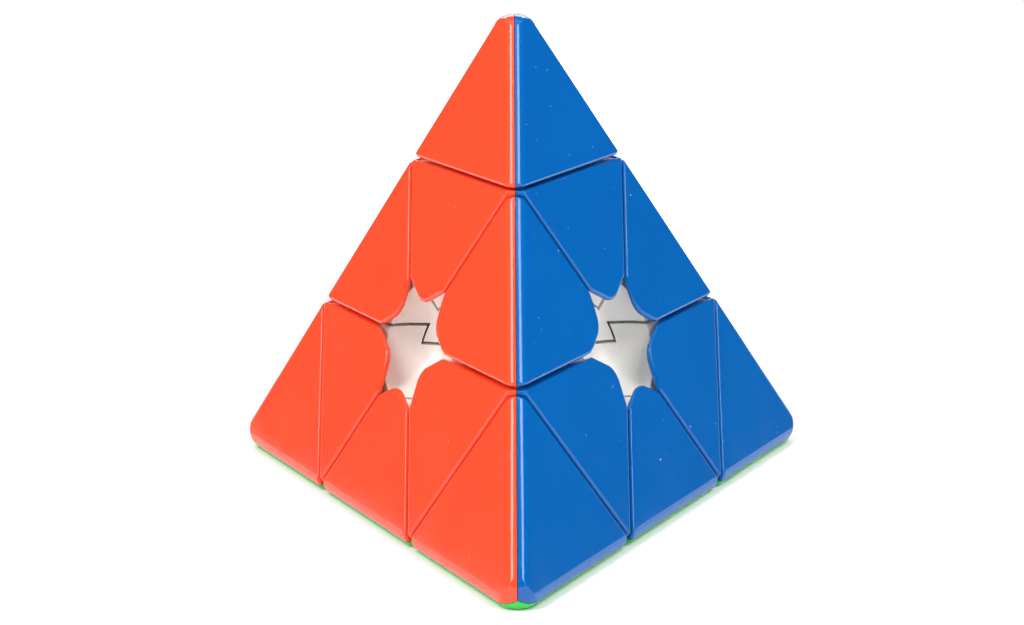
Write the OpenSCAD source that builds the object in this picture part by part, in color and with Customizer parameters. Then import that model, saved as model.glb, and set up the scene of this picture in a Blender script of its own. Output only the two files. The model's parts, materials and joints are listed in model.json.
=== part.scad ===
// Pyramid twisty puzzle: four turning layers and four turning tips on one core.
// The origin is the centre of the core, where the four turning axes meet.
// +Z is the axis of the top vertex, and the front vertex is towards -Y.
// An axis is named by its vertex: 0 top, 1 front, 2 left, 3 right.
// The face opposite the top is green, the front yellow, the left blue, the right red.

/* [Outside] */
// Edge of the pyramid measured between its sharp corners, before rounding
edge_len = 105; // [100:0.5:110]
// Height of the layer cuts above the core centre, along each turning axis
layer_cut = 7.3; // [7.1:0.05:7.5]
// Height of the tip cuts above the core centre, along each turning axis
tip_cut = 33.8; // [33.6:0.1:35]
// Gap between neighbouring pieces at a layer cut
layer_gap = 0.5; // [0.4:0.05:0.7]
// Gap between a tip and its centre piece
tip_gap = 0.4; // [0.3:0.05:0.6]
// Radius along the outer edges
edge_round = 2.15; // [1.6:0.05:2.4]
// Radius of the rounded vertices
vertex_round = 4.2; // [3.8:0.1:4.6]

/* [Coloured caps] */
// Thickness of a coloured cap
cap_t = 2; // [1.6:0.1:2.2]
// Gap between two caps where they meet on one piece
cap_seam = 0.12; // [0.06:0.02:0.2]
// Radius of the cap corners that meet at a face centre
star_round = 5.3; // [4:0.1:6]
// Radius of the locating peg under each cap
peg_r = 1.5; // [1.2:0.1:1.8]
// Length of the locating peg
peg_len = 1.8; // [1.4:0.1:2]

/* [Layers inside] */
// Radius of the spherical pocket that the edge feet slide in
pocket_r = 16.5; // [16:0.1:17]
// Height of the layer cuts inside the pocket
inner_cut = 4.2; // [4:0.1:4.6]
// Gap around the edge feet
foot_gap = 0.3; // [0.2:0.05:0.4]
// Radius of the round well scooped out of the white bodies at each face centre
well_r = 11; // [10:0.1:11.4]

/* [Core and axes] */
// Radius of the core ball
ball_r = 7.4; // [7:0.1:7.6]
// Radius of the four core arms
arm_r = 2.6; // [2.4:0.1:2.8]
// Height of the end of each arm above the core centre
arm_top = 11; // [10.5:0.1:11.2]
// Height of the top of the web that each spring presses on
web_top = 13.5; // [13:0.1:14]
// Radius of an axis screw's shank
shank_r = 1.5; // [1.4:0.05:1.6]
// Height of the underside of each screw's washer
washer_z = 20; // [19.5:0.1:20.5]
// Radius of the spring's coil at the middle of its wire
coil_r = 2.4; // [2.3:0.05:2.5]
// Radius of the spring wire
wire_r = 0.35; // [0.3:0.05:0.4]
// Number of turns in a spring
coil_turns = 5; // [4:1:6]
// Radius of a tip's stem
stem_r = 4.15; // [4:0.05:4.25]
// Height of the lower end of a tip's stem
stem_z = 25; // [24.6:0.1:25.5]

/* [Colours] */
// Colours of the faces opposite the top, front, left and right vertices
face_colours = ["limegreen", "gold", "royalblue", "orangered"];
// Colour of the bodies under the caps
body_colour = "white";
// Colour of the screws, springs and washers
metal_colour = "silver";

/* [Hidden] */
VERTEX = ["top", "front", "left", "right"];
FACE = ["green", "yellow", "blue", "red"];
EDGES = [[0, 1], [0, 2], [0, 3], [1, 2], [1, 3], [2, 3]];
AXES = [0, 1, 2, 3];

// Distance from the core centre to a face, to a sharp vertex and to a sharp edge
face_d = edge_len * sqrt(6) / 12;
vertex_d = 3 * face_d;
edge_d = edge_len * sqrt(2) / 4;

// Angle between two turning axes, and from an axis to the middle of an edge
axis_angle = acos(-1 / 3);
half_angle = axis_angle / 2;
// Cosine of the angle between a face and a turning axis that points at it
lean = sin(axis_angle);
// Polar angle and compass direction of each axis
tilt = [0, axis_angle, axis_angle, axis_angle];
turn = [0, -90, 150, 30];
// Compass direction of every other axis, seen along each axis
bearing = [[0, -90, 150, 30], [180, 0, -60, 60], [180, 60, 0, -60], [180, -60, 60, 0]];

// Side of the blocks that cut along a plane
big = 180;
// Centre of the edge rounding, measured along the direction of the edge's middle
round_d = edge_d - edge_round / cos(half_angle);
// Where the rounded edge begins
round_start = round_d + edge_round * cos(half_angle);
// How far the rounding takes the ridge in, measured across the turning axis
ridge_in = (edge_d - round_d - edge_round) / sin(half_angle);
// Slope of an edge seen from the turning axis of its vertex
edge_slope = sqrt(0.5);
// Centre of the ball that rounds a vertex, which touches the three rounded edges
vertex_ball_z = vertex_d - (vertex_round / sin(half_angle) + ridge_in) / edge_slope;
vertex_start = vertex_ball_z + vertex_round * cos(half_angle);

// The axes that are not in a list
function others(list) = [for (a = AXES) if (len(search(a, list)) == 0) a];
// Distance in a face from its centre, towards a vertex, to height t on that vertex's axis
function in_face(t) = (t - face_d / 3) / lean;
// Distance from the face centre to the sharp end of a centre cap and of an edge cap
centre_apex = in_face(face_d - 2 * (layer_cut - layer_gap / 2));
edge_apex = -in_face(face_d - 2 * (layer_cut + layer_gap / 2));
// Distance from the face centre to the locating peg of each kind of cap
tip_peg = in_face((vertex_d + 2 * tip_cut) / 3);
centre_peg = in_face((2 * tip_cut + layer_cut) / 3);
edge_peg = edge_len / (3 * sqrt(3));
// Clearances of the pegs in their holes
peg_side_gap = 0.1;
peg_end_gap = 0.3;

// Fits along each axis
ball_gap = 0.3;
arm_gap = 0.3;
arm_end_gap = 0.5;
screw_hole_r = shank_r + 0.2;
chamber_r = coil_r + wire_r + 0.75;
washer_r = 3.1;
washer_t = 0.7;
head_r = 2.7;
head_h = 2.2;
recess_w = 0.8;
recess_l = 3.4;
recess_d = 1.2;
shank_bottom = 4.5;
socket_r = stem_r + 0.25;
socket_z = stem_z - 1;
stem_bore_r = 2.9;
stem_bore_top = 32;
slit_w = 0.9;
slit_top = 31;
bead_out = 0.45;
bead_z = 27.8;
bead_h = 1;
groove_out = 0.55;
groove_h = 1.8;
stem_lead = 0.4;
body_top = 54.4;
overlap = 0.5;
coil_steps = 14;
wire_sides = 6;

function edge_name(e, what) = str(VERTEX[e[0]], "_", VERTEX[e[1]], "_edge_", what);

// ---- Frames: each one carries +Z to a direction of the pyramid ----

module along_axis(a) {
    rotate([0, tilt[a], turn[a]]) children();
}

// +Z to the middle of the edge between a and b, +X from a towards b
module along_edge_middle(a, b) {
    along_axis(a) rotate([0, 0, bearing[a][b]]) rotate([0, half_angle, 0]) children();
}

// +Z out of the face opposite axis f, +X towards vertex a
module on_face(f, a) {
    along_axis(f) rotate([180, 0, 0]) rotate([0, 0, -bearing[f][a]]) children();
}

// Every piece is drawn once, at the top or at the top front edge, and turned to its place.
// The turn carries the top axis to a and the front axis to b.
module place(a, b) {
    along_axis(a) rotate([0, 0, bearing[a][b] - turn[1]]) children();
}

// The axis that the right axis comes to in place(a, b)
function right_of(a, b) =
    [for (c = others([a, b])) if ((bearing[a][c] - bearing[a][b] + 360) % 360 == turn[3] - turn[1]) c][0];

// ---- Half spaces and layers ----

module above(a, height) {
    along_axis(a) translate([-big / 2, -big / 2, height]) cube(big);
}

module below(a, height) {
    along_axis(a) translate([-big / 2, -big / 2, height - big]) cube(big);
}

// Everything inside the pyramid, with each face moved in
module pyramid(inset) {
    intersection_for(a = AXES)
        above(a, inset - face_d);
}

// A ball on the core centre, turned so that no cut passes through a pole of the sphere
module ball(radius) {
    rotate([0, 90, 0]) sphere(r = radius);
}

// The round shape that a layer fills: it may turn about its own axis
module layer(a, outer_z, inner_z, radius) {
    along_axis(a) {
        translate([0, 0, outer_z]) cylinder(r = big / 2, h = big / 2);
        intersection() {
            sphere(r = radius);
            translate([0, 0, inner_z]) cylinder(r = radius + 1, h = radius);
        }
    }
}

module wells(faces) {
    for (f = faces)
        along_axis(f) translate([0, 0, -face_d]) sphere(r = well_r);
}

// ---- Rounding ----

// Keeps what lies within the rounded edge between a and b
module rounded_edge(a, b) {
    along_edge_middle(a, b) {
        translate([-big / 2, -big / 2, round_start - big]) cube(big);
        translate([-big / 2, 0, round_d]) rotate([0, 90, 0]) cylinder(r = edge_round, h = big);
    }
}

// Keeps what lies within the rounded top vertex
module rounded_vertex() {
    below(0, vertex_start);
    translate([0, 0, vertex_ball_z]) rotate([0, 90, 0]) sphere(r = vertex_round);
}

// Keeps what lies within the rounded corner at a face centre; +X points into the cap
module rounded_star_corner(apex) {
    translate([apex + 1.5 * star_round, -big / 2, 0]) cube(big);
    translate([apex + 2 * star_round, 0, 0]) cylinder(r = star_round, h = big / 2);
}

// ---- Coloured caps ----

// The layer of plastic under face f, on its own side of the seams with faces g and h
module cap_plate(f, g, h) {
    intersection() {
        along_axis(f) translate([-big / 2, -big / 2, -face_d]) cube([big, big, cap_t]);
        along_edge_middle(f, g) translate([cap_seam / 2, -big / 2, -big / 2]) cube(big);
        along_edge_middle(f, h) translate([cap_seam / 2, -big / 2, -big / 2]) cube(big);
    }
}

// A peg under face f, at a distance from its centre towards vertex a, rooted in the cap's plate
module peg(f, a, distance, radius, length) {
    on_face(f, a)
        translate([distance, 0, face_d - cap_t - length]) cylinder(r = radius, h = length + overlap);
}

module peg_hole(f, a, distance) {
    peg(f, a, distance, peg_r + peg_side_gap, peg_len + peg_end_gap);
}

// Cap of the top tip on the face opposite the front
module tip_cap() {
    intersection() {
        cap_plate(1, 2, 3);
        above(0, tip_cut + tip_gap / 2);
        rounded_edge(0, 2);
        rounded_edge(0, 3);
        rounded_vertex();
    }
    peg(1, 0, tip_peg, peg_r, peg_len);
}

// Cap of the top centre piece on the face opposite the front
module centre_cap() {
    intersection() {
        cap_plate(1, 2, 3);
        above(0, layer_cut + layer_gap / 2);
        below(0, tip_cut - tip_gap / 2);
        below(2, layer_cut - layer_gap / 2);
        below(3, layer_cut - layer_gap / 2);
        rounded_edge(0, 2);
        rounded_edge(0, 3);
        on_face(1, 0) rounded_star_corner(centre_apex);
    }
    peg(1, 0, centre_peg, peg_r, peg_len);
}

// Cap of the top front edge piece on the face opposite the right
module edge_cap() {
    intersection() {
        cap_plate(3, 2, 2);
        above(0, layer_cut + layer_gap / 2);
        above(1, layer_cut + layer_gap / 2);
        rounded_edge(0, 1);
        on_face(3, 2) rotate([0, 0, 180]) rounded_star_corner(edge_apex);
    }
    peg(3, 2, -edge_peg, peg_r, peg_len);
}

// ---- White bodies ----

// Arm bore, screw hole, spring chamber and tip socket, along one axis
module axis_bores() {
    socket_top = tip_cut + overlap;
    cylinder(r = arm_r + arm_gap, h = arm_top + arm_end_gap);
    cylinder(r = screw_hole_r, h = socket_top);
    translate([0, 0, web_top]) cylinder(r = chamber_r, h = socket_top - web_top);
    translate([0, 0, socket_z]) cylinder(r = socket_r, h = socket_top - socket_z);
    translate([0, 0, bead_z - groove_h / 2]) cylinder(r = socket_r + groove_out, h = groove_h);
}

module centre_body() {
    difference() {
        intersection() {
            pyramid(cap_t);
            layer(0, layer_cut + layer_gap / 2, inner_cut + layer_gap / 2, pocket_r - foot_gap / 2);
            below(0, tip_cut - tip_gap / 2);
        }
        for (a = [1, 2, 3])
            layer(a, layer_cut - layer_gap / 2, inner_cut - layer_gap / 2, pocket_r + foot_gap / 2);
        wells([1, 2, 3]);
        ball(ball_r + ball_gap);
        axis_bores();
        for (f = [1, 2, 3])
            peg_hole(f, 0, centre_peg);
    }
}

// Split stem with a bead that snaps into the groove of the tip socket
module stem() {
    top = tip_cut + tip_gap / 2 + overlap;
    difference() {
        rotate_extrude() polygon([
            [stem_bore_r, stem_z],
            [stem_r - stem_lead, stem_z],
            [stem_r, stem_z + stem_lead],
            [stem_r, bead_z - bead_h / 2],
            [stem_r + bead_out, bead_z],
            [stem_r, bead_z + bead_h / 2],
            [stem_r, top],
            [0, top],
            [0, stem_bore_top],
            [stem_bore_r, stem_bore_top]
        ]);
        for (angle = [0, 90])
            rotate([0, 0, angle])
                translate([-socket_r, -slit_w / 2, stem_z - overlap])
                    cube([2 * socket_r, slit_w, slit_top - stem_z + overlap]);
    }
}

module tip_body() {
    difference() {
        union() {
            intersection() {
                pyramid(cap_t);
                above(0, tip_cut + tip_gap / 2);
                below(0, body_top);
            }
            stem();
        }
        for (f = [1, 2, 3])
            peg_hole(f, 0, tip_peg);
    }
}

// What shows of the top front edge piece, without its caps
module edge_block() {
    intersection() {
        pyramid(cap_t);
        above(0, layer_cut + layer_gap / 2);
        above(1, layer_cut + layer_gap / 2);
    }
}

// The foot slides in the pocket, under the overhangs of the two centre bodies
module edge_foot() {
    intersection() {
        ball(pocket_r - foot_gap / 2);
        above(0, inner_cut + layer_gap / 2);
        above(1, inner_cut + layer_gap / 2);
        below(2, inner_cut - layer_gap / 2);
        below(3, inner_cut - layer_gap / 2);
    }
}

module edge_body() {
    difference() {
        union() {
            edge_block();
            edge_foot();
        }
        wells([2, 3]);
        ball(ball_r + ball_gap);
        peg_hole(2, 3, -edge_peg);
        peg_hole(3, 2, -edge_peg);
    }
}

// ---- Core, screws, springs and washers ----

module core() {
    color(body_colour) difference() {
        union() {
            ball(ball_r);
            for (a = AXES)
                along_axis(a)
                    translate([0, 0, shank_bottom]) cylinder(r = arm_r, h = arm_top - shank_bottom);
        }
        for (a = AXES)
            along_axis(a)
                translate([0, 0, shank_bottom]) cylinder(r = shank_r, h = arm_top);
    }
}

module axis_screw() {
    head_z = washer_z + washer_t;
    difference() {
        union() {
            translate([0, 0, shank_bottom]) cylinder(r = shank_r, h = head_z - shank_bottom);
            translate([0, 0, head_z]) cylinder(r = head_r, h = head_h);
        }
        for (angle = [0, 90])
            rotate([0, 0, angle])
                translate([-recess_l / 2, -recess_w / 2, head_z + head_h - recess_d])
                    cube([recess_l, recess_w, recess_d + overlap]);
    }
}

module axis_screws() {
    color(metal_colour)
        for (a = AXES)
            along_axis(a) axis_screw();
}

module axis_washers() {
    color(metal_colour)
        for (a = AXES)
            along_axis(a) translate([0, 0, washer_z]) difference() {
                cylinder(r = washer_r, h = washer_t);
                translate([0, 0, -overlap])
                    cylinder(r = screw_hole_r, h = washer_t + 2 * overlap);
            }
}

// A coil of round wire, from the web up to the washer
module coil_spring() {
    rings = coil_turns * coil_steps;
    rise = washer_z - web_top - 2 * wire_r;
    points = [
        for (i = [0 : rings])
            for (k = [0 : wire_sides - 1])
                let (
                    along = 360 * i / coil_steps,
                    around = 360 * k / wire_sides,
                    reach = coil_r + wire_r * cos(around)
                )
                [
                    reach * cos(along),
                    reach * sin(along),
                    web_top + wire_r + rise * i / rings + wire_r * sin(around)
                ]
    ];
    sides = [
        for (i = [0 : rings - 1])
            for (k = [0 : wire_sides - 1])
                let (next = (k + 1) % wire_sides, low = i * wire_sides, high = low + wire_sides)
                [low + k, high + k, high + next, low + next]
    ];
    start = [for (k = [0 : wire_sides - 1]) k];
    finish = [for (k = [wire_sides - 1 : -1 : 0]) rings * wire_sides + k];
    polyhedron(points = points, faces = concat(sides, [start], [finish]));
}

module axis_springs() {
    color(metal_colour)
        for (a = AXES)
            along_axis(a) coil_spring();
}

// ---- Every node ----

core();
axis_screws();
axis_springs();
axis_washers();

for (a = AXES) {
    side = others([a])[2];
    color(body_colour) place(a, side) centre_body();
    color(body_colour) place(a, side) tip_body();
    for (f = others([a])) {
        color(face_colours[f]) place(a, f) tip_cap();
        color(face_colours[f]) place(a, f) centre_cap();
    }
}

for (e = EDGES) {
    color(body_colour) place(e[0], e[1]) edge_body();
    for (f = others(e)) {
        way = right_of(e[0], e[1]) == f ? e : [e[1], e[0]];
        color(face_colours[f]) place(way[0], way[1]) edge_cap();
    }
}
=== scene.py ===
# %% [markdown]
# A pyramid twisty puzzle
#
# The puzzle is a tetrahedron cut into four tips, four centre pieces and six edge pieces.
# Each piece is a white moulded body that carries one glossy coloured cap for each face it
# shows. The mechanical model already has every piece in its right place, so this lesson
# loads it, makes finely rounded caps to go over it, and gives every piece its plastic or metal.

import json
import math

import bmesh
import bpy
import numpy as np
from mathutils import Matrix, Vector


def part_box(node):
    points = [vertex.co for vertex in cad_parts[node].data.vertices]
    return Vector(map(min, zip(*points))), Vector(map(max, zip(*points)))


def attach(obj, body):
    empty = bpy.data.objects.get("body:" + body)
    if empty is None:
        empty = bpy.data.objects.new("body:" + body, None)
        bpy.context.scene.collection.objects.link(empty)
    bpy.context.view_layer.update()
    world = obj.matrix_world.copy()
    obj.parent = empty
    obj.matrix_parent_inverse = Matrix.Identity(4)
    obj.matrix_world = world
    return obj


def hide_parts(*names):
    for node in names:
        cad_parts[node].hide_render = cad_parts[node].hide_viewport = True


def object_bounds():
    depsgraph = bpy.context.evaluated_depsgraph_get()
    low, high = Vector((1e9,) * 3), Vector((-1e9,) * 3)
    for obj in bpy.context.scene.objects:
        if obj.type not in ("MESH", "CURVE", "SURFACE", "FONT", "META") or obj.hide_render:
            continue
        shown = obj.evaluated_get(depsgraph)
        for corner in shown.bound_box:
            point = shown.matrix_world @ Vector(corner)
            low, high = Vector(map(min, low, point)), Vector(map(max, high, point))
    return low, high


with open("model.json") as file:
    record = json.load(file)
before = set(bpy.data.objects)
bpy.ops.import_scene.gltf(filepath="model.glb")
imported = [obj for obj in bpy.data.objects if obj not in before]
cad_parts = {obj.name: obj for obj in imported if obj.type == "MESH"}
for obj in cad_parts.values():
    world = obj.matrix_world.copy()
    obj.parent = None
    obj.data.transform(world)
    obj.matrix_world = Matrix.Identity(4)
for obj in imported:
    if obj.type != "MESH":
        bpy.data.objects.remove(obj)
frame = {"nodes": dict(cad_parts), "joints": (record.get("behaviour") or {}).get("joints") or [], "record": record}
cad_box = [[float(v) for v in corner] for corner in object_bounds()]
print("mechanical model, lowest and highest corner:", cad_box)

# %% [markdown]
# Measures
#
# Everything is worked out in millimetres from the four turning axes and from a few heights
# along them. The heights come from the boxes of the pieces themselves, so the caps fit the
# bodies however large the puzzle is. Only roundings and clearances are chosen.

# %% Turning axes and cut heights
MM = 0.001
VERTEX = ["top", "front", "left", "right"]
FACE = ["green", "yellow", "blue", "red"]


def unit(v):
    """The same direction, one long."""
    return v / np.linalg.norm(v)


joint_axis = {j["name"]: np.array(j["axis"], float) for j in frame["joints"]}
AXIS = [unit(joint_axis[f"{v}_layer_turn"]) for v in VERTEX]
BETWEEN_AXES = math.acos(-1 / 3)      # the angle between any two of the four


def height(node, end):
    """Lowest (0) or highest (1) point of a node, in millimetres."""
    return round(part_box(node)[end][2] / MM, 3)


face_d = -height("front_tip_green_cap", 0)
peg_bottom = -height("front_tip_green_cap", 1)
layer_above = height("top_front_edge_red_cap", 0)
layer_below = height("front_centre_red_cap", 1)
tip_above = height("top_tip_red_cap", 0)
tip_below = height("top_centre_body", 1)
vertex_top = height("top_tip_red_cap", 1)
print(f"faces {face_d:.2f} from the core, layer cut {layer_below:.2f} to {layer_above:.2f},"
      f" tip cut {tip_below:.2f} to {tip_above:.2f}, vertex {vertex_top:.2f} mm")

# %% [markdown]
# A convex block cut by planes
#
# Every piece is a convex block, so it can be made as a carpenter would: start with a cube and
# saw along one plane after another. A rounded edge is many thin saw cuts that turn from one
# face to the next. Blender could do this with its bisect tool, but here the corners are kept
# as numbers, because the next step needs to know which planes meet at each corner. Three
# planes must meet at each corner, so every cut is shifted by a hair, each by a different one.

# %% Saw a cube along planes
CUBE_HALF = 120.0
JITTER = 3e-4         # the most that a cut is shifted
GOLDEN = 0.618034     # spreads the shifts evenly


def start_cube():
    """Eight corners, and six sides as a normal and a loop of corners."""
    ends = (-1, 1)
    points = [np.array([x, y, z], float) * CUBE_HALF for x in ends for y in ends for z in ends]
    loops = {(-1, 0, 0): [0, 1, 3, 2], (1, 0, 0): [4, 6, 7, 5], (0, -1, 0): [0, 4, 5, 1],
             (0, 1, 0): [2, 3, 7, 6], (0, 0, -1): [0, 2, 6, 4], (0, 0, 1): [1, 5, 7, 3]}
    return points, [(np.array(n, float), loop) for n, loop in loops.items()]


def saw(planes):
    """The corners and sides of the block where normal . point <= distance for every plane."""
    points, sides = start_cube()
    for turn, (normal, distance) in enumerate(planes):
        distance += JITTER * (turn * GOLDEN % 1)
        out = [float(normal @ p) - distance for p in points]
        if not any(out[i] > 0 for _, loop in sides for i in loop):
            continue
        # made: new corner on each cut edge; follows: the order of new corners round the cut
        made, follows, kept = {}, {}, []
        for side_normal, loop in sides:
            new, leave, enter = [], None, None
            for i, j in zip(loop, loop[1:] + loop[:1]):
                if out[i] <= 0:
                    new.append(i)
                if (out[i] <= 0) != (out[j] <= 0):
                    key = (min(i, j), max(i, j))
                    if key not in made:
                        share = out[i] / (out[i] - out[j])
                        points.append(points[i] + share * (points[j] - points[i]))
                        made[key] = len(points) - 1
                    new.append(made[key])
                    if out[i] <= 0:
                        leave = made[key]
                    else:
                        enter = made[key]
            if len(new) >= 3:
                kept.append((side_normal, new))
            if leave is not None:
                follows[enter] = leave
        # the cut itself becomes one more side
        first = next(iter(follows))
        loop = [first]
        while follows[loop[-1]] != first:
            loop.append(follows[loop[-1]])
        sides = kept + [(np.array(normal, float), loop)]
    return points, sides


# %% [markdown]
# Saw cuts for a rounded edge
#
# On the real caps the long outer edges are rounded to about 2 mm, the four vertices are
# little balls, and the corners that meet at a face's centre are wide arcs. Each of these is a
# fan of planes that touch a cylinder, a ball or a cone. The arcs at a face's centre lean in
# under the cap, so the white body shows right up to the coloured rim; the lean fades out
# towards the straight walls beside them.

# %% Fans of planes
EDGE_ROUND = 2.15
VERTEX_ROUND = 4.2
STAR_ROUND = 5.3
SOFT = 0.5            # rounding of every other edge of a cap
CUT_STEP = math.radians(8)
STAR_UNDERCUT = math.radians(62)
UNDERCUT_FADE = 1.5   # above 1 the full undercut is reached sooner from each wall
BALL_RINGS = [(0, 1), (8, 8), (16, 14), (24, 20), (32, 26), (40, 30), (48, 36)]  # degrees, cuts


def angle_between(u, v):
    return math.acos(max(-1.0, min(1.0, float(u @ v))))


def between(u, v, share):
    """The direction part of the way along the arc from u to v."""
    angle = angle_between(u, v)
    if angle < 1e-6:
        return u
    return (math.sin((1 - share) * angle) * u + math.sin(share * angle) * v) / math.sin(angle)


def fan(u, v):
    """Directions between u and v, no more than CUT_STEP apart."""
    steps = max(1, math.ceil(angle_between(u, v) / CUT_STEP))
    return [between(u, v, k / steps) for k in range(1, steps)]


def ridge(f, g):
    """Planes round the outer edge between faces f and g."""
    u, v = -AXIS[f], -AXIS[g]
    middle = unit(u + v)
    centre = middle * (face_d - EDGE_ROUND) / float(middle @ u)
    return [(n, float(n @ centre) + EDGE_ROUND) for n in fan(u, v)]


def ball_at_vertex():
    """Planes round the top vertex, down to where its ball touches the rounded edges."""
    centre = AXIS[0] * (vertex_top - VERTEX_ROUND)
    planes = []
    for tilt, count in BALL_RINGS:
        for k in range(count):
            a, t = 2 * math.pi * (k + 0.5) / count, math.radians(tilt)
            n = np.array([math.sin(t) * math.cos(a), math.sin(t) * math.sin(a), math.cos(t)])
            planes.append((n, float(n @ centre) + VERTEX_ROUND))
    return planes


def star_corner(f, wall_1, wall_2):
    """Planes round the corner of a cap at the centre of face f, where two walls meet."""
    up = -AXIS[f]
    (u, du), (v, dv) = wall_1, wall_2
    flat = [w - float(w @ up) * up for w in (u, v)]
    lean, rise = np.linalg.norm(flat[0]), float(u @ up)
    flat = [unit(w) for w in flat]
    # the arc's centre in the face, STAR_ROUND inside both walls
    reach = [(d - rise * face_d) / lean - STAR_ROUND for d in (du, dv)] + [face_d]
    centre = np.linalg.solve(np.array([flat[0], flat[1], up]), np.array(reach))
    planes, count = [], len(fan(flat[0], flat[1])) + 1
    for k in range(1, count):
        e = between(flat[0], flat[1], k / count)
        full = min(1.0, UNDERCUT_FADE * math.sin(math.pi * k / count))
        tilt = (1 - full) * math.asin(rise) - full * STAR_UNDERCUT
        n = math.cos(tilt) * e + math.sin(tilt) * up
        planes.append((n, float(n @ (centre + STAR_ROUND * e))))
    return planes


# %% [markdown]
# Softening the whole block
#
# A moulded piece has no sharp edge anywhere. The block is first sawn a little too small on
# every side, and then wrapped in a skin of constant thickness: each side moves straight out,
# each edge becomes part of a cylinder and each corner part of a ball. A bevel would do
# the same for a plain box, but it tangles where many narrow cuts meet.

# %% Wrap a block in a round skin
SKIN_STEP = math.radians(11)


def skin(points, sides, radius):
    """Vertices and faces of the block grown by radius on every side."""
    verts, faces, index = [], [], {}

    def vertex(i, direction, key):
        if key not in index:
            index[key] = len(verts)
            verts.append(points[i] + radius * direction)
        return index[key]

    def arc(i, f, g):
        """Vertices at corner i from side f to side g."""
        lo, hi = min(f, g), max(f, g)
        u, v = sides[lo][0], sides[hi][0]
        steps = max(1, math.ceil(angle_between(u, v) / SKIN_STEP))
        row = [vertex(i, u, (i, lo))]
        row += [vertex(i, between(u, v, k / steps), (i, lo, hi, k)) for k in range(1, steps)]
        row.append(vertex(i, v, (i, hi)))
        return row if f == lo else row[::-1]

    # which side each edge belongs to, and which corner comes next round a side
    owner, after = {}, {}
    for f, (_, loop) in enumerate(sides):
        for i, j in zip(loop, loop[1:] + loop[:1]):
            owner[i, j] = f
            after[i, f] = j
    # each side moves straight out
    for f, (normal, loop) in enumerate(sides):
        faces.append([vertex(i, normal, (i, f)) for i in loop])
    # each edge becomes a strip of a cylinder
    for (i, j), f in owner.items():
        g = owner[j, i]
        if f < g:
            a, b = arc(i, f, g), arc(j, f, g)
            faces += [[b[k], a[k], a[k + 1], b[k + 1]] for k in range(len(a) - 1)]
    # each corner becomes a patch of a ball, ring by ring towards its middle
    seen = set()
    for (i, _), f in owner.items():
        if i in seen:
            continue
        seen.add(i)
        ring, g = [], f
        while True:
            ring.append(g)
            g = owner[after[i, g], i]
            if g == f:
                break
        ring.reverse()
        edge = []
        for a, b in zip(ring, ring[1:] + ring[:1]):
            edge += arc(i, a, b)[:-1]
        if len(edge) <= 4:
            faces.append(edge)
            continue
        middle = unit(sum(sides[a][0] for a in ring))
        rings = max(1, round(len(edge) / (2 * len(ring))))
        directions = [(verts[k] - points[i]) / radius for k in edge]
        for r in range(1, rings):
            inner = []
            for k, d in enumerate(directions):
                inner.append(vertex(i, between(d, middle, r / rings), (i, "ring", r, k)))
            faces += [[edge[k - 1], edge[k], inner[k], inner[k - 1]] for k in range(len(edge))]
            edge = inner
        tip = vertex(i, middle, (i, "middle"))
        faces += [[edge[k - 1], edge[k], tip] for k in range(len(edge))]
    return verts, faces


def soft_block(planes):
    """The block inside these planes, with every edge rounded to SOFT."""
    return skin(*saw([(np.array(n, float), d - SOFT) for n, d in planes]), SOFT)


# %% [markdown]
# The three kinds of piece
#
# Each kind is made once: at the top vertex, or on the edge from the top to the front. A
# face's plane has its normal along the opposite vertex's axis, turned round; so have the cuts.

# %% Planes of a tip, a centre piece and an edge piece
OUTER_EDGES = ((1, 2), (1, 3), (2, 3))      # pairs of faces that meet at the top vertex


def face(f):
    return (-AXIS[f], face_d)


def over(a, h):
    """Keeps what is above height h on axis a."""
    return (-AXIS[a], -h)


def under(a, h):
    """Keeps what is below height h on axis a."""
    return (AXIS[a], h)


tip_planes = [face(1), face(2), face(3), over(0, tip_above)] + ball_at_vertex()
for f, g in OUTER_EDGES:
    tip_planes += ridge(f, g)

centre_planes = [face(1), face(2), face(3), over(0, layer_above), under(0, tip_below)]
for k in (1, 2, 3):
    centre_planes.append(under(k, layer_below))
for f, g in OUTER_EDGES:
    centre_planes += ridge(f, g)
centre_planes += star_corner(1, under(2, layer_below), under(3, layer_below))

edge_planes = [face(2), face(3), over(0, layer_above), over(1, layer_above)] + ridge(2, 3)
edge_planes += star_corner(3, over(0, layer_above), over(1, layer_above))

block_planes = {"tip": tip_planes, "centre": centre_planes, "edge": edge_planes}
blocks = {kind: soft_block(planes) for kind, planes in block_planes.items()}
for kind, (verts, faces) in blocks.items():
    print(f"{kind} block: {len(verts)} vertices, {len(faces)} faces")

# %% [markdown]
# Caps
#
# A cap is the outer 2 mm of a block, on one face only. Where two caps of a piece meet on a
# rounded edge they stop at a thin seam half way round. On its hidden side each cap
# has a short peg, which keeps it on its white body.

# %% Cut the blocks into caps
CAP_T = 2.0
SEAM = 0.12
PEG_R = 1.5
PEG_CHAMFER = 0.3
PEG_ROOT = 0.4        # how far the peg reaches into its cap
PEG_SIDES = 24
WELD = 0.002 * MM     # corners closer than this become one


def trim(bm, normal, distance):
    """Cuts away what lies beyond the plane and closes the cut."""
    n = Vector([float(v) for v in normal])
    geom = bm.verts[:] + bm.edges[:] + bm.faces[:]
    cut = bmesh.ops.bisect_plane(bm, geom=geom, dist=1e-8, plane_co=n * (distance * MM),
                                 plane_no=n, clear_outer=True)
    rim = [e for e in cut["geom_cut"] if isinstance(e, bmesh.types.BMEdge)]
    bmesh.ops.holes_fill(bm, edges=rim, sides=0)


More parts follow.
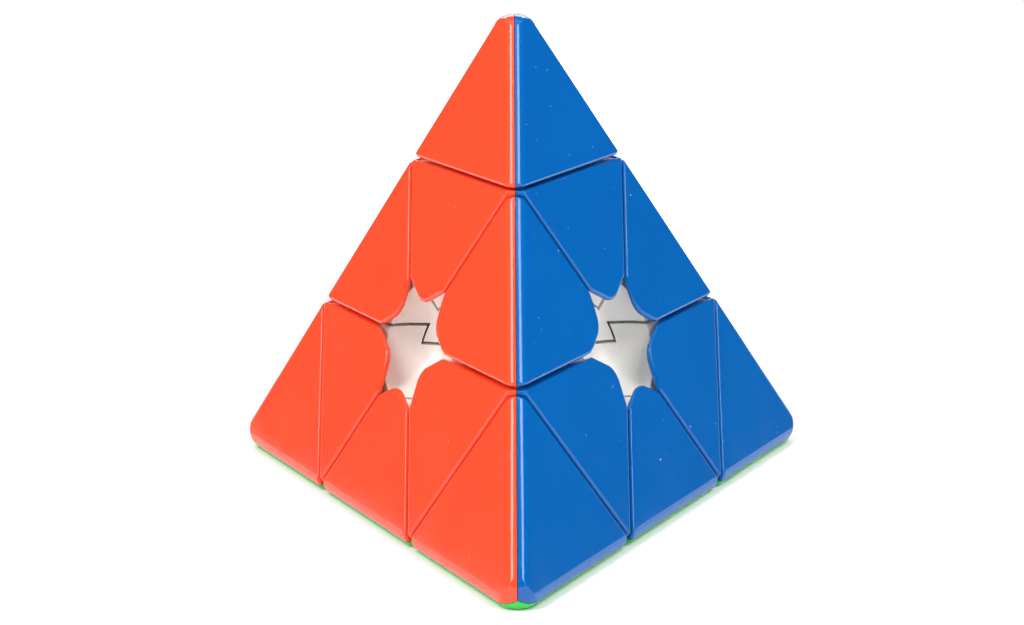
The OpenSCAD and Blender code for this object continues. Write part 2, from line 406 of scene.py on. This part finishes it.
def add_peg(bm, f, toward, distance):
    """A round peg under face f, at a distance from the face's centre towards a vertex."""
    out = -AXIS[f]
    along = unit(AXIS[toward] - float(AXIS[toward] @ out) * out)
    across = np.cross(out, along)
    rings = [(face_d - CAP_T + PEG_ROOT, PEG_R), (peg_bottom + PEG_CHAMFER, PEG_R),
             (peg_bottom, PEG_R - PEG_CHAMFER)]
    loops = []
    for h, r in rings:
        turn = [2 * math.pi * k / PEG_SIDES for k in range(PEG_SIDES)]
        ring = [out * h + along * (distance + r * math.cos(t)) + across * r * math.sin(t)
                for t in turn]
        loops.append([bm.verts.new([float(v) * MM for v in p]) for p in ring])
    bm.faces.new(loops[0])
    bm.faces.new(loops[-1][::-1])
    for a, b in zip(loops, loops[1:]):
        for k in range(PEG_SIDES):
            bm.faces.new([a[k - 1], b[k - 1], b[k], a[k]])


def cap_mesh(kind, f, sides, peg_toward, peg_distance):
    """One cap of a block, on face f, between the seams towards the faces in sides."""
    verts, faces = blocks[kind]
    bm = bmesh.new()
    made = [bm.verts.new([float(v) * MM for v in p]) for p in verts]
    for loop in faces:
        bm.faces.new([made[i] for i in loop])
    bmesh.ops.remove_doubles(bm, verts=bm.verts[:], dist=WELD)
    trim(bm, AXIS[f], -(face_d - CAP_T))
    for g in sides:
        trim(bm, unit(AXIS[f] - AXIS[g]), -SEAM / 2)
    bmesh.ops.dissolve_degenerate(bm, edges=bm.edges[:], dist=WELD)
    add_peg(bm, f, peg_toward, peg_distance)
    bmesh.ops.recalc_face_normals(bm, faces=bm.faces[:])
    mesh = bpy.data.meshes.new(f"{kind}_cap_pattern")
    bm.to_mesh(mesh)
    open_edges = sum(1 for e in bm.edges if len(e.link_faces) != 2)
    print(f"{kind} cap: {len(bm.verts)} vertices, {len(bm.faces)} faces, {open_edges} open edges")
    bm.free()
    return mesh


def in_face(h):
    """Distance from a face's centre to height h on the axis of one of its vertices."""
    return (h - face_d / 3) / math.sin(BETWEEN_AXES)


# each peg stands under the middle of its cap, where its body has a socket
tip_cut = (tip_above + tip_below) / 2
layer_cut = (layer_above + layer_below) / 2
edge_len = face_d * 12 / math.sqrt(6)
patterns = {
    "tip": cap_mesh("tip", 1, (2, 3), 0, in_face((3 * face_d + 2 * tip_cut) / 3)),
    "centre": cap_mesh("centre", 1, (2, 3), 0, in_face((2 * tip_cut + layer_cut) / 3)),
    "edge": cap_mesh("edge", 3, (2,), 2, -edge_len / (3 * math.sqrt(3))),
}

# %% [markdown]
# Small helpers for shader nodes
#
# A finish is made of a few noise patterns that steer colour, gloss and height. The helpers
# below each add one node to a material and hand back its output. The noise is fixed to the
# piece's own coordinates, so it turns with the piece and looks the same from all sides.

# %% Node helpers
def link(tree, a, b):
    tree.links.new(a, b)


def add_node(tree, kind, **values):
    node = tree.nodes.new(kind)
    for name, value in values.items():
        setattr(node, name, value)
    return node


def new_material(name, colour):
    """A material, its node tree, its shader and the piece's own coordinates."""
    material = bpy.data.materials.new(name)
    material.use_nodes = True
    material.diffuse_color = colour
    tree = material.node_tree
    where = add_node(tree, "ShaderNodeTexCoord").outputs["Object"]
    return material, tree, tree.nodes["Principled BSDF"], where


def noise(tree, where, scale, detail=3.0, stretch=None):
    """A noise pattern; scale is in patches per metre, stretch is a rotation and a scale."""
    node = add_node(tree, "ShaderNodeTexNoise")
    node.inputs["Scale"].default_value = scale
    node.inputs["Detail"].default_value = detail
    if stretch:
        mapping = add_node(tree, "ShaderNodeMapping")
        mapping.inputs["Rotation"].default_value = stretch[0]
        mapping.inputs["Scale"].default_value = stretch[1]
        link(tree, where, mapping.inputs["Vector"])
        where = mapping.outputs["Vector"]
    link(tree, where, node.inputs["Vector"])
    return node.outputs["Fac"]


def remap(tree, source, low, high, to_low, to_high):
    """Stretches low..high to to_low..to_high, and clips the rest."""
    node = add_node(tree, "ShaderNodeMapRange")
    ends = (("From Min", low), ("From Max", high), ("To Min", to_low), ("To Max", to_high))
    for name, value in ends:
        node.inputs[name].default_value = value
    link(tree, source, node.inputs["Value"])
    return node.outputs["Result"]


def blend(tree, share, first, second):
    """Mixes two colours; each is a socket or a plain colour."""
    node = add_node(tree, "ShaderNodeMix", data_type="RGBA")
    link(tree, share, node.inputs["Factor"])
    for name, value in (("A", first), ("B", second)):
        socket = next(s for s in node.inputs if s.name == name and s.type == "RGBA")
        if isinstance(value, tuple):
            socket.default_value = value
        else:
            link(tree, value, socket)
    return next(s for s in node.outputs if s.type == "RGBA")


def shade(colour, factor):
    """A colour made lighter or darker."""
    return tuple(min(1.0, c * factor) for c in colour[:3]) + (1.0,)


def bump(tree, height_map, strength, depth, below=None):
    """Raises the surface by up to depth metres, on top of another bump."""
    node = add_node(tree, "ShaderNodeBump")
    node.inputs["Strength"].default_value = strength
    node.inputs["Distance"].default_value = depth
    link(tree, height_map, node.inputs["Height"])
    if below is not None:
        link(tree, below, node.inputs["Normal"])
    return node.outputs["Normal"]


# %% [markdown]
# Plastics
#
# The caps are moulded in plastic of one colour all through, with a polished surface. A polished
# part still isn't perfect: the gloss varies a little, the surface has a faint ripple from the
# mould, the colour is a shade uneven where the plastic flowed, and handling leaves hairline
# scratches and specks of dust, which show most on the blue. The white bodies inside are the
# same plastic with a satin surface.

# %% A glossy moulded plastic
DUST = (0.9, 0.9, 0.88, 1)


def plastic(name, colour, gloss=(0.05, 0.1), specks=0.3, flow=0.03):
    material, tree, bsdf, where = new_material(name, colour)
    flow_marks = remap(tree, noise(tree, where, 60), 0.3, 0.7, 0, 1)
    base = blend(tree, flow_marks, shade(colour, 1 - flow), shade(colour, 1 + flow))
    dust = remap(tree, noise(tree, where, 1300, 2.0), 0.765, 0.79, 0, specks)
    link(tree, blend(tree, dust, base, DUST), bsdf.inputs["Base Color"])
    smears = remap(tree, noise(tree, where, 140, 4.0), 0.35, 0.7, gloss[0], gloss[1])
    link(tree, smears, bsdf.inputs["Roughness"])
    ripple = bump(tree, noise(tree, where, 900, 2.0), 0.12, 0.00003)
    lines = noise(tree, where, 420, 1.0, ((0.4, 0.9, 0.2), (1.0, 14.0, 14.0)))
    hairlines = bump(tree, remap(tree, lines, 0.66, 0.7, 0, 1), 0.18, 0.00002, ripple)
    link(tree, hairlines, bsdf.inputs["Normal"])
    bsdf.inputs["IOR"].default_value = 1.5
    return material


cap_plastic = {
    "red": plastic("red_plastic", (0.96, 0.072, 0.026, 1)),
    "blue": plastic("blue_plastic", (0.0, 0.115, 0.42, 1), specks=0.75),
    "green": plastic("green_plastic", (0.03, 0.62, 0.06, 1)),
    "yellow": plastic("yellow_plastic", (0.95, 0.66, 0.02, 1)),
}
white_plastic = plastic("white_plastic", (0.92, 0.89, 0.83, 1), gloss=(0.2, 0.3), specks=0.0,
                        flow=0.02)
print("plastics:", [m.name for m in cap_plastic.values()], white_plastic.name)

# %% [markdown]
# Thirty-six caps in place
#
# Every cap is a copy of one of three patterns, turned so that the top axis goes to its own
# vertex and the front axis to another. The turn is written into the mesh, so each cap stays at
# the origin, as the mechanical pieces do, and rides on its own piece of the puzzle.

# %% Place the caps
SHARP = math.radians(35)


def axes_frame(a, b):
    """Three unit directions from two axes, as the columns of a matrix."""
    u = AXIS[a]
    v = unit(AXIS[b] - float(AXIS[b] @ u) * u)
    return np.column_stack([u, v, np.cross(u, v)])


def turn_to(a, b):
    """The turn that carries the top axis to a and the front axis to b."""
    return axes_frame(a, b) @ axes_frame(0, 1).T


def place_cap(kind, turn, node, body, colour):
    """One finished cap, which stands for a node and rides on a body."""
    mesh = patterns[kind].copy()
    mesh.name = f"{node}_moulded"
    rows = [[float(v) for v in row] + [0] for row in turn] + [[0, 0, 0, 1]]
    mesh.transform(Matrix(rows))
    cap = bpy.data.objects.new(f"{node}_moulded", mesh)
    bpy.context.scene.collection.objects.link(cap)
    mesh.shade_smooth()
    mesh.set_sharp_from_angle(angle=SHARP)
    weigh = cap.modifiers.new("even_shading", "WEIGHTED_NORMAL")
    weigh.keep_sharp = True
    weigh.weight = 100
    mesh.materials.append(cap_plastic[colour])
    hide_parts(node)
    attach(cap, body)


placed = 0
for a in range(4):
    for f in range(4):
        if f == a:
            continue
        for kind in ("tip", "centre"):
            node = f"{VERTEX[a]}_{kind}_{FACE[f]}_cap"
            place_cap(kind, turn_to(a, f), node, f"{VERTEX[a]}_{kind}", FACE[f])
            placed += 1
for a in range(4):
    for b in range(a + 1, 4):
        edge = f"{VERTEX[a]}_{VERTEX[b]}_edge"
        for turn in (turn_to(a, b), turn_to(b, a)):
            # the pattern's cap lies opposite the right vertex
            f = int(np.argmax([float(axis @ (turn @ AXIS[3])) for axis in AXIS]))
            place_cap("edge", turn, f"{edge}_{FACE[f]}_cap", edge, FACE[f])
            placed += 1
print(placed, "caps placed")

# %% [markdown]
# Steel and white bodies
#
# The screws, washers and springs are plain bright steel. They are hidden until the
# puzzle is taken apart, so one material with faint turning marks is enough. The white bodies
# already have their right shape, so they keep it and only get their satin white plastic.

# %% Steel and the white bodies
def steel(name):
    material, tree, bsdf, where = new_material(name, (0.6, 0.6, 0.61, 1))
    tone = remap(tree, noise(tree, where, 300), 0.3, 0.7, 0, 1)
    greys = blend(tree, tone, (0.5, 0.5, 0.51, 1), (0.66, 0.66, 0.67, 1))
    link(tree, greys, bsdf.inputs["Base Color"])
    polish = remap(tree, noise(tree, where, 2500), 0.3, 0.7, 0.22, 0.4)
    link(tree, polish, bsdf.inputs["Roughness"])
    marks = noise(tree, where, 1800, 2.0, ((0, 0, 0), (1.0, 1.0, 8.0)))
    link(tree, bump(tree, marks, 0.2, 0.00003), bsdf.inputs["Normal"])
    bsdf.inputs["Metallic"].default_value = 1.0
    return material


bright_steel = steel("bright_steel")
slot_of = {s["node"]: s["material_slot"] for s in frame["record"]["subparts"]}
kept = 0
for name, node in frame["nodes"].items():
    if name.endswith("_cap"):
        continue
    node.data.materials.clear()
    node.data.materials.append(bright_steel if slot_of[name] == "steel" else white_plastic)
    kept += 1
print(kept, "mechanical pieces finished in white plastic or steel")

# %% [markdown]
# Floor
#
# The puzzle stands on a plain white table. It is matt, with the faintest unevenness in its
# white, and it has a painted glow: it emits light, more away from the puzzle, so that it fades
# into the backdrop while the soft shadow round the base still shows.

# %% White table with a painted glow
FLOOR_HALF = 0.6
GLOW_FROM, GLOW_TO, GLOW = 0.07, 0.3, 0.6      # metres from the middle, and full strength


# a matt white material with a painted glow that grows away from the middle
def matt_white_painted_glow(name, colour):
    material, tree, bsdf, where = new_material(name, colour)
    tone = remap(tree, noise(tree, where, 30), 0.3, 0.7, 0, 1)
    link(tree, blend(tree, tone, shade(colour, 0.995), colour), bsdf.inputs["Base Color"])
    bsdf.inputs["Roughness"].default_value = 0.9
    bsdf.inputs["Specular IOR Level"].default_value = 0.1
    # painted glow: the floor emits white light, none near the puzzle and more further out
    bsdf.inputs["Emission Color"].default_value = (1, 1, 1, 1)
    away = add_node(tree, "ShaderNodeVectorMath", operation="LENGTH")
    link(tree, where, away.inputs[0])
    glow = remap(tree, away.outputs["Value"], GLOW_FROM, GLOW_TO, 0.0, GLOW)
    link(tree, glow, bsdf.inputs["Emission Strength"])
    return material


floor_z = cad_box[0][2]
bm = bmesh.new()
corners = [(-1, -1), (1, -1), (1, 1), (-1, 1)]
bm.faces.new([bm.verts.new((x * FLOOR_HALF, y * FLOOR_HALF, floor_z)) for x, y in corners])
floor_mesh = bpy.data.meshes.new("floor")
bm.to_mesh(floor_mesh)
bm.free()
floor = bpy.data.objects.new("floor", floor_mesh)
bpy.context.scene.collection.objects.link(floor)
# the floor's glow is painted light, not a lamp
floor_mesh.materials.append(matt_white_painted_glow("floor_white_painted_glow", (0.95, 0.95, 0.95, 1)))
print("floor at", round(floor_z / MM, 2), "mm")

# %% [markdown]
# White surround
#
# The studio round the puzzle is white. As a backdrop it is pure white and as light it is
# softer, so it fills the shadows and the star-shaped holes. In reflections it is nearly dark,
# as with black cloths beside the camera, so the glossy faces keep their full colour.

# %% Surround
BACKDROP_LIGHT = 0.42
BACKDROP_MIRRORED = 0.04

world = bpy.data.worlds.new("white_studio")
bpy.context.scene.world = world
world.use_nodes = True
sky = world.node_tree
surround = sky.nodes["Background"]
surround.inputs["Color"].default_value = (1, 1, 1, 1)
ray = add_node(sky, "ShaderNodeLightPath")
strength = remap(sky, ray.outputs["Is Glossy Ray"], 0, 1, BACKDROP_LIGHT, BACKDROP_MIRRORED)
backdrop = add_node(sky, "ShaderNodeMath", operation="MAXIMUM")
link(sky, ray.outputs["Is Camera Ray"], backdrop.inputs[0])
link(sky, strength, backdrop.inputs[1])
link(sky, backdrop.outputs["Value"], surround.inputs["Strength"])
print("surround:", BACKDROP_LIGHT, "as light,", BACKDROP_MIRRORED, "in reflections")

# %% [markdown]
# Softboxes
#
# A tall softbox high on each side draws the thin light stripe on either side of the front
# edge, and the fine lines along the caps' rims. One behind lights the back, and one overhead
# gives the soft shadow round the base. All of them point at the puzzle.

# %% Softboxes
def softbox(name, place, size, watts):
    lamp = bpy.data.lights.new(name, "AREA")
    lamp.shape = "RECTANGLE"
    lamp.size, lamp.size_y = size
    lamp.energy = watts
    box = bpy.data.objects.new(name, lamp)
    bpy.context.scene.collection.objects.link(box)
    box.location = place
    box.rotation_euler = (-Vector(place)).to_track_quat("-Z", "Y").to_euler()
    print(name, watts, "W")


softbox("left_softbox", (-0.51, -0.4, 0.7), (0.24, 0.8), 6.2)
softbox("right_softbox", (0.51, -0.4, 0.7), (0.24, 0.8), 4.8)
softbox("back_softbox", (0.0, 0.8, 0.5), (0.6, 0.4), 3.0)
softbox("overhead_softbox", (0.0, -0.1, 0.9), (0.9, 0.9), 2.2)
bpy.context.scene.view_settings.view_transform = "Standard"

# %% [markdown]
# Camera
#
# The camera looks at the front edge from a little above the puzzle, from nearly five puzzle
# heights away, through a long lens. It is rolled by less than a degree.

# %% Camera
AZIMUTH = math.radians(0.788)
ELEVATION = math.radians(14.510)
ROLL = math.radians(-0.772)
DISTANCE = 0.38167
TARGET = Vector((-0.001021, 0.0, 0.009354))
LENS, SENSOR = 81.46, 36.0

level_share = math.cos(ELEVATION)
back = Vector((math.sin(AZIMUTH) * level_share, -math.cos(AZIMUTH) * level_share,
               math.sin(ELEVATION)))
level = Vector((0, 0, 1)).cross(back).normalized()
upright = back.cross(level)
right = level * math.cos(ROLL) + upright * math.sin(ROLL)
up = upright * math.cos(ROLL) - level * math.sin(ROLL)
lens = bpy.data.cameras.new("camera")
lens.sensor_width = SENSOR
lens.lens = LENS
lens.clip_start = 0.01
camera = bpy.data.objects.new("camera", lens)
bpy.context.scene.collection.objects.link(camera)
facing = Matrix((right, up, back)).transposed().to_4x4()
camera.matrix_world = Matrix.Translation(TARGET + back * DISTANCE) @ facing
bpy.context.scene.camera = camera
print("camera at", [round(v, 4) for v in camera.location])
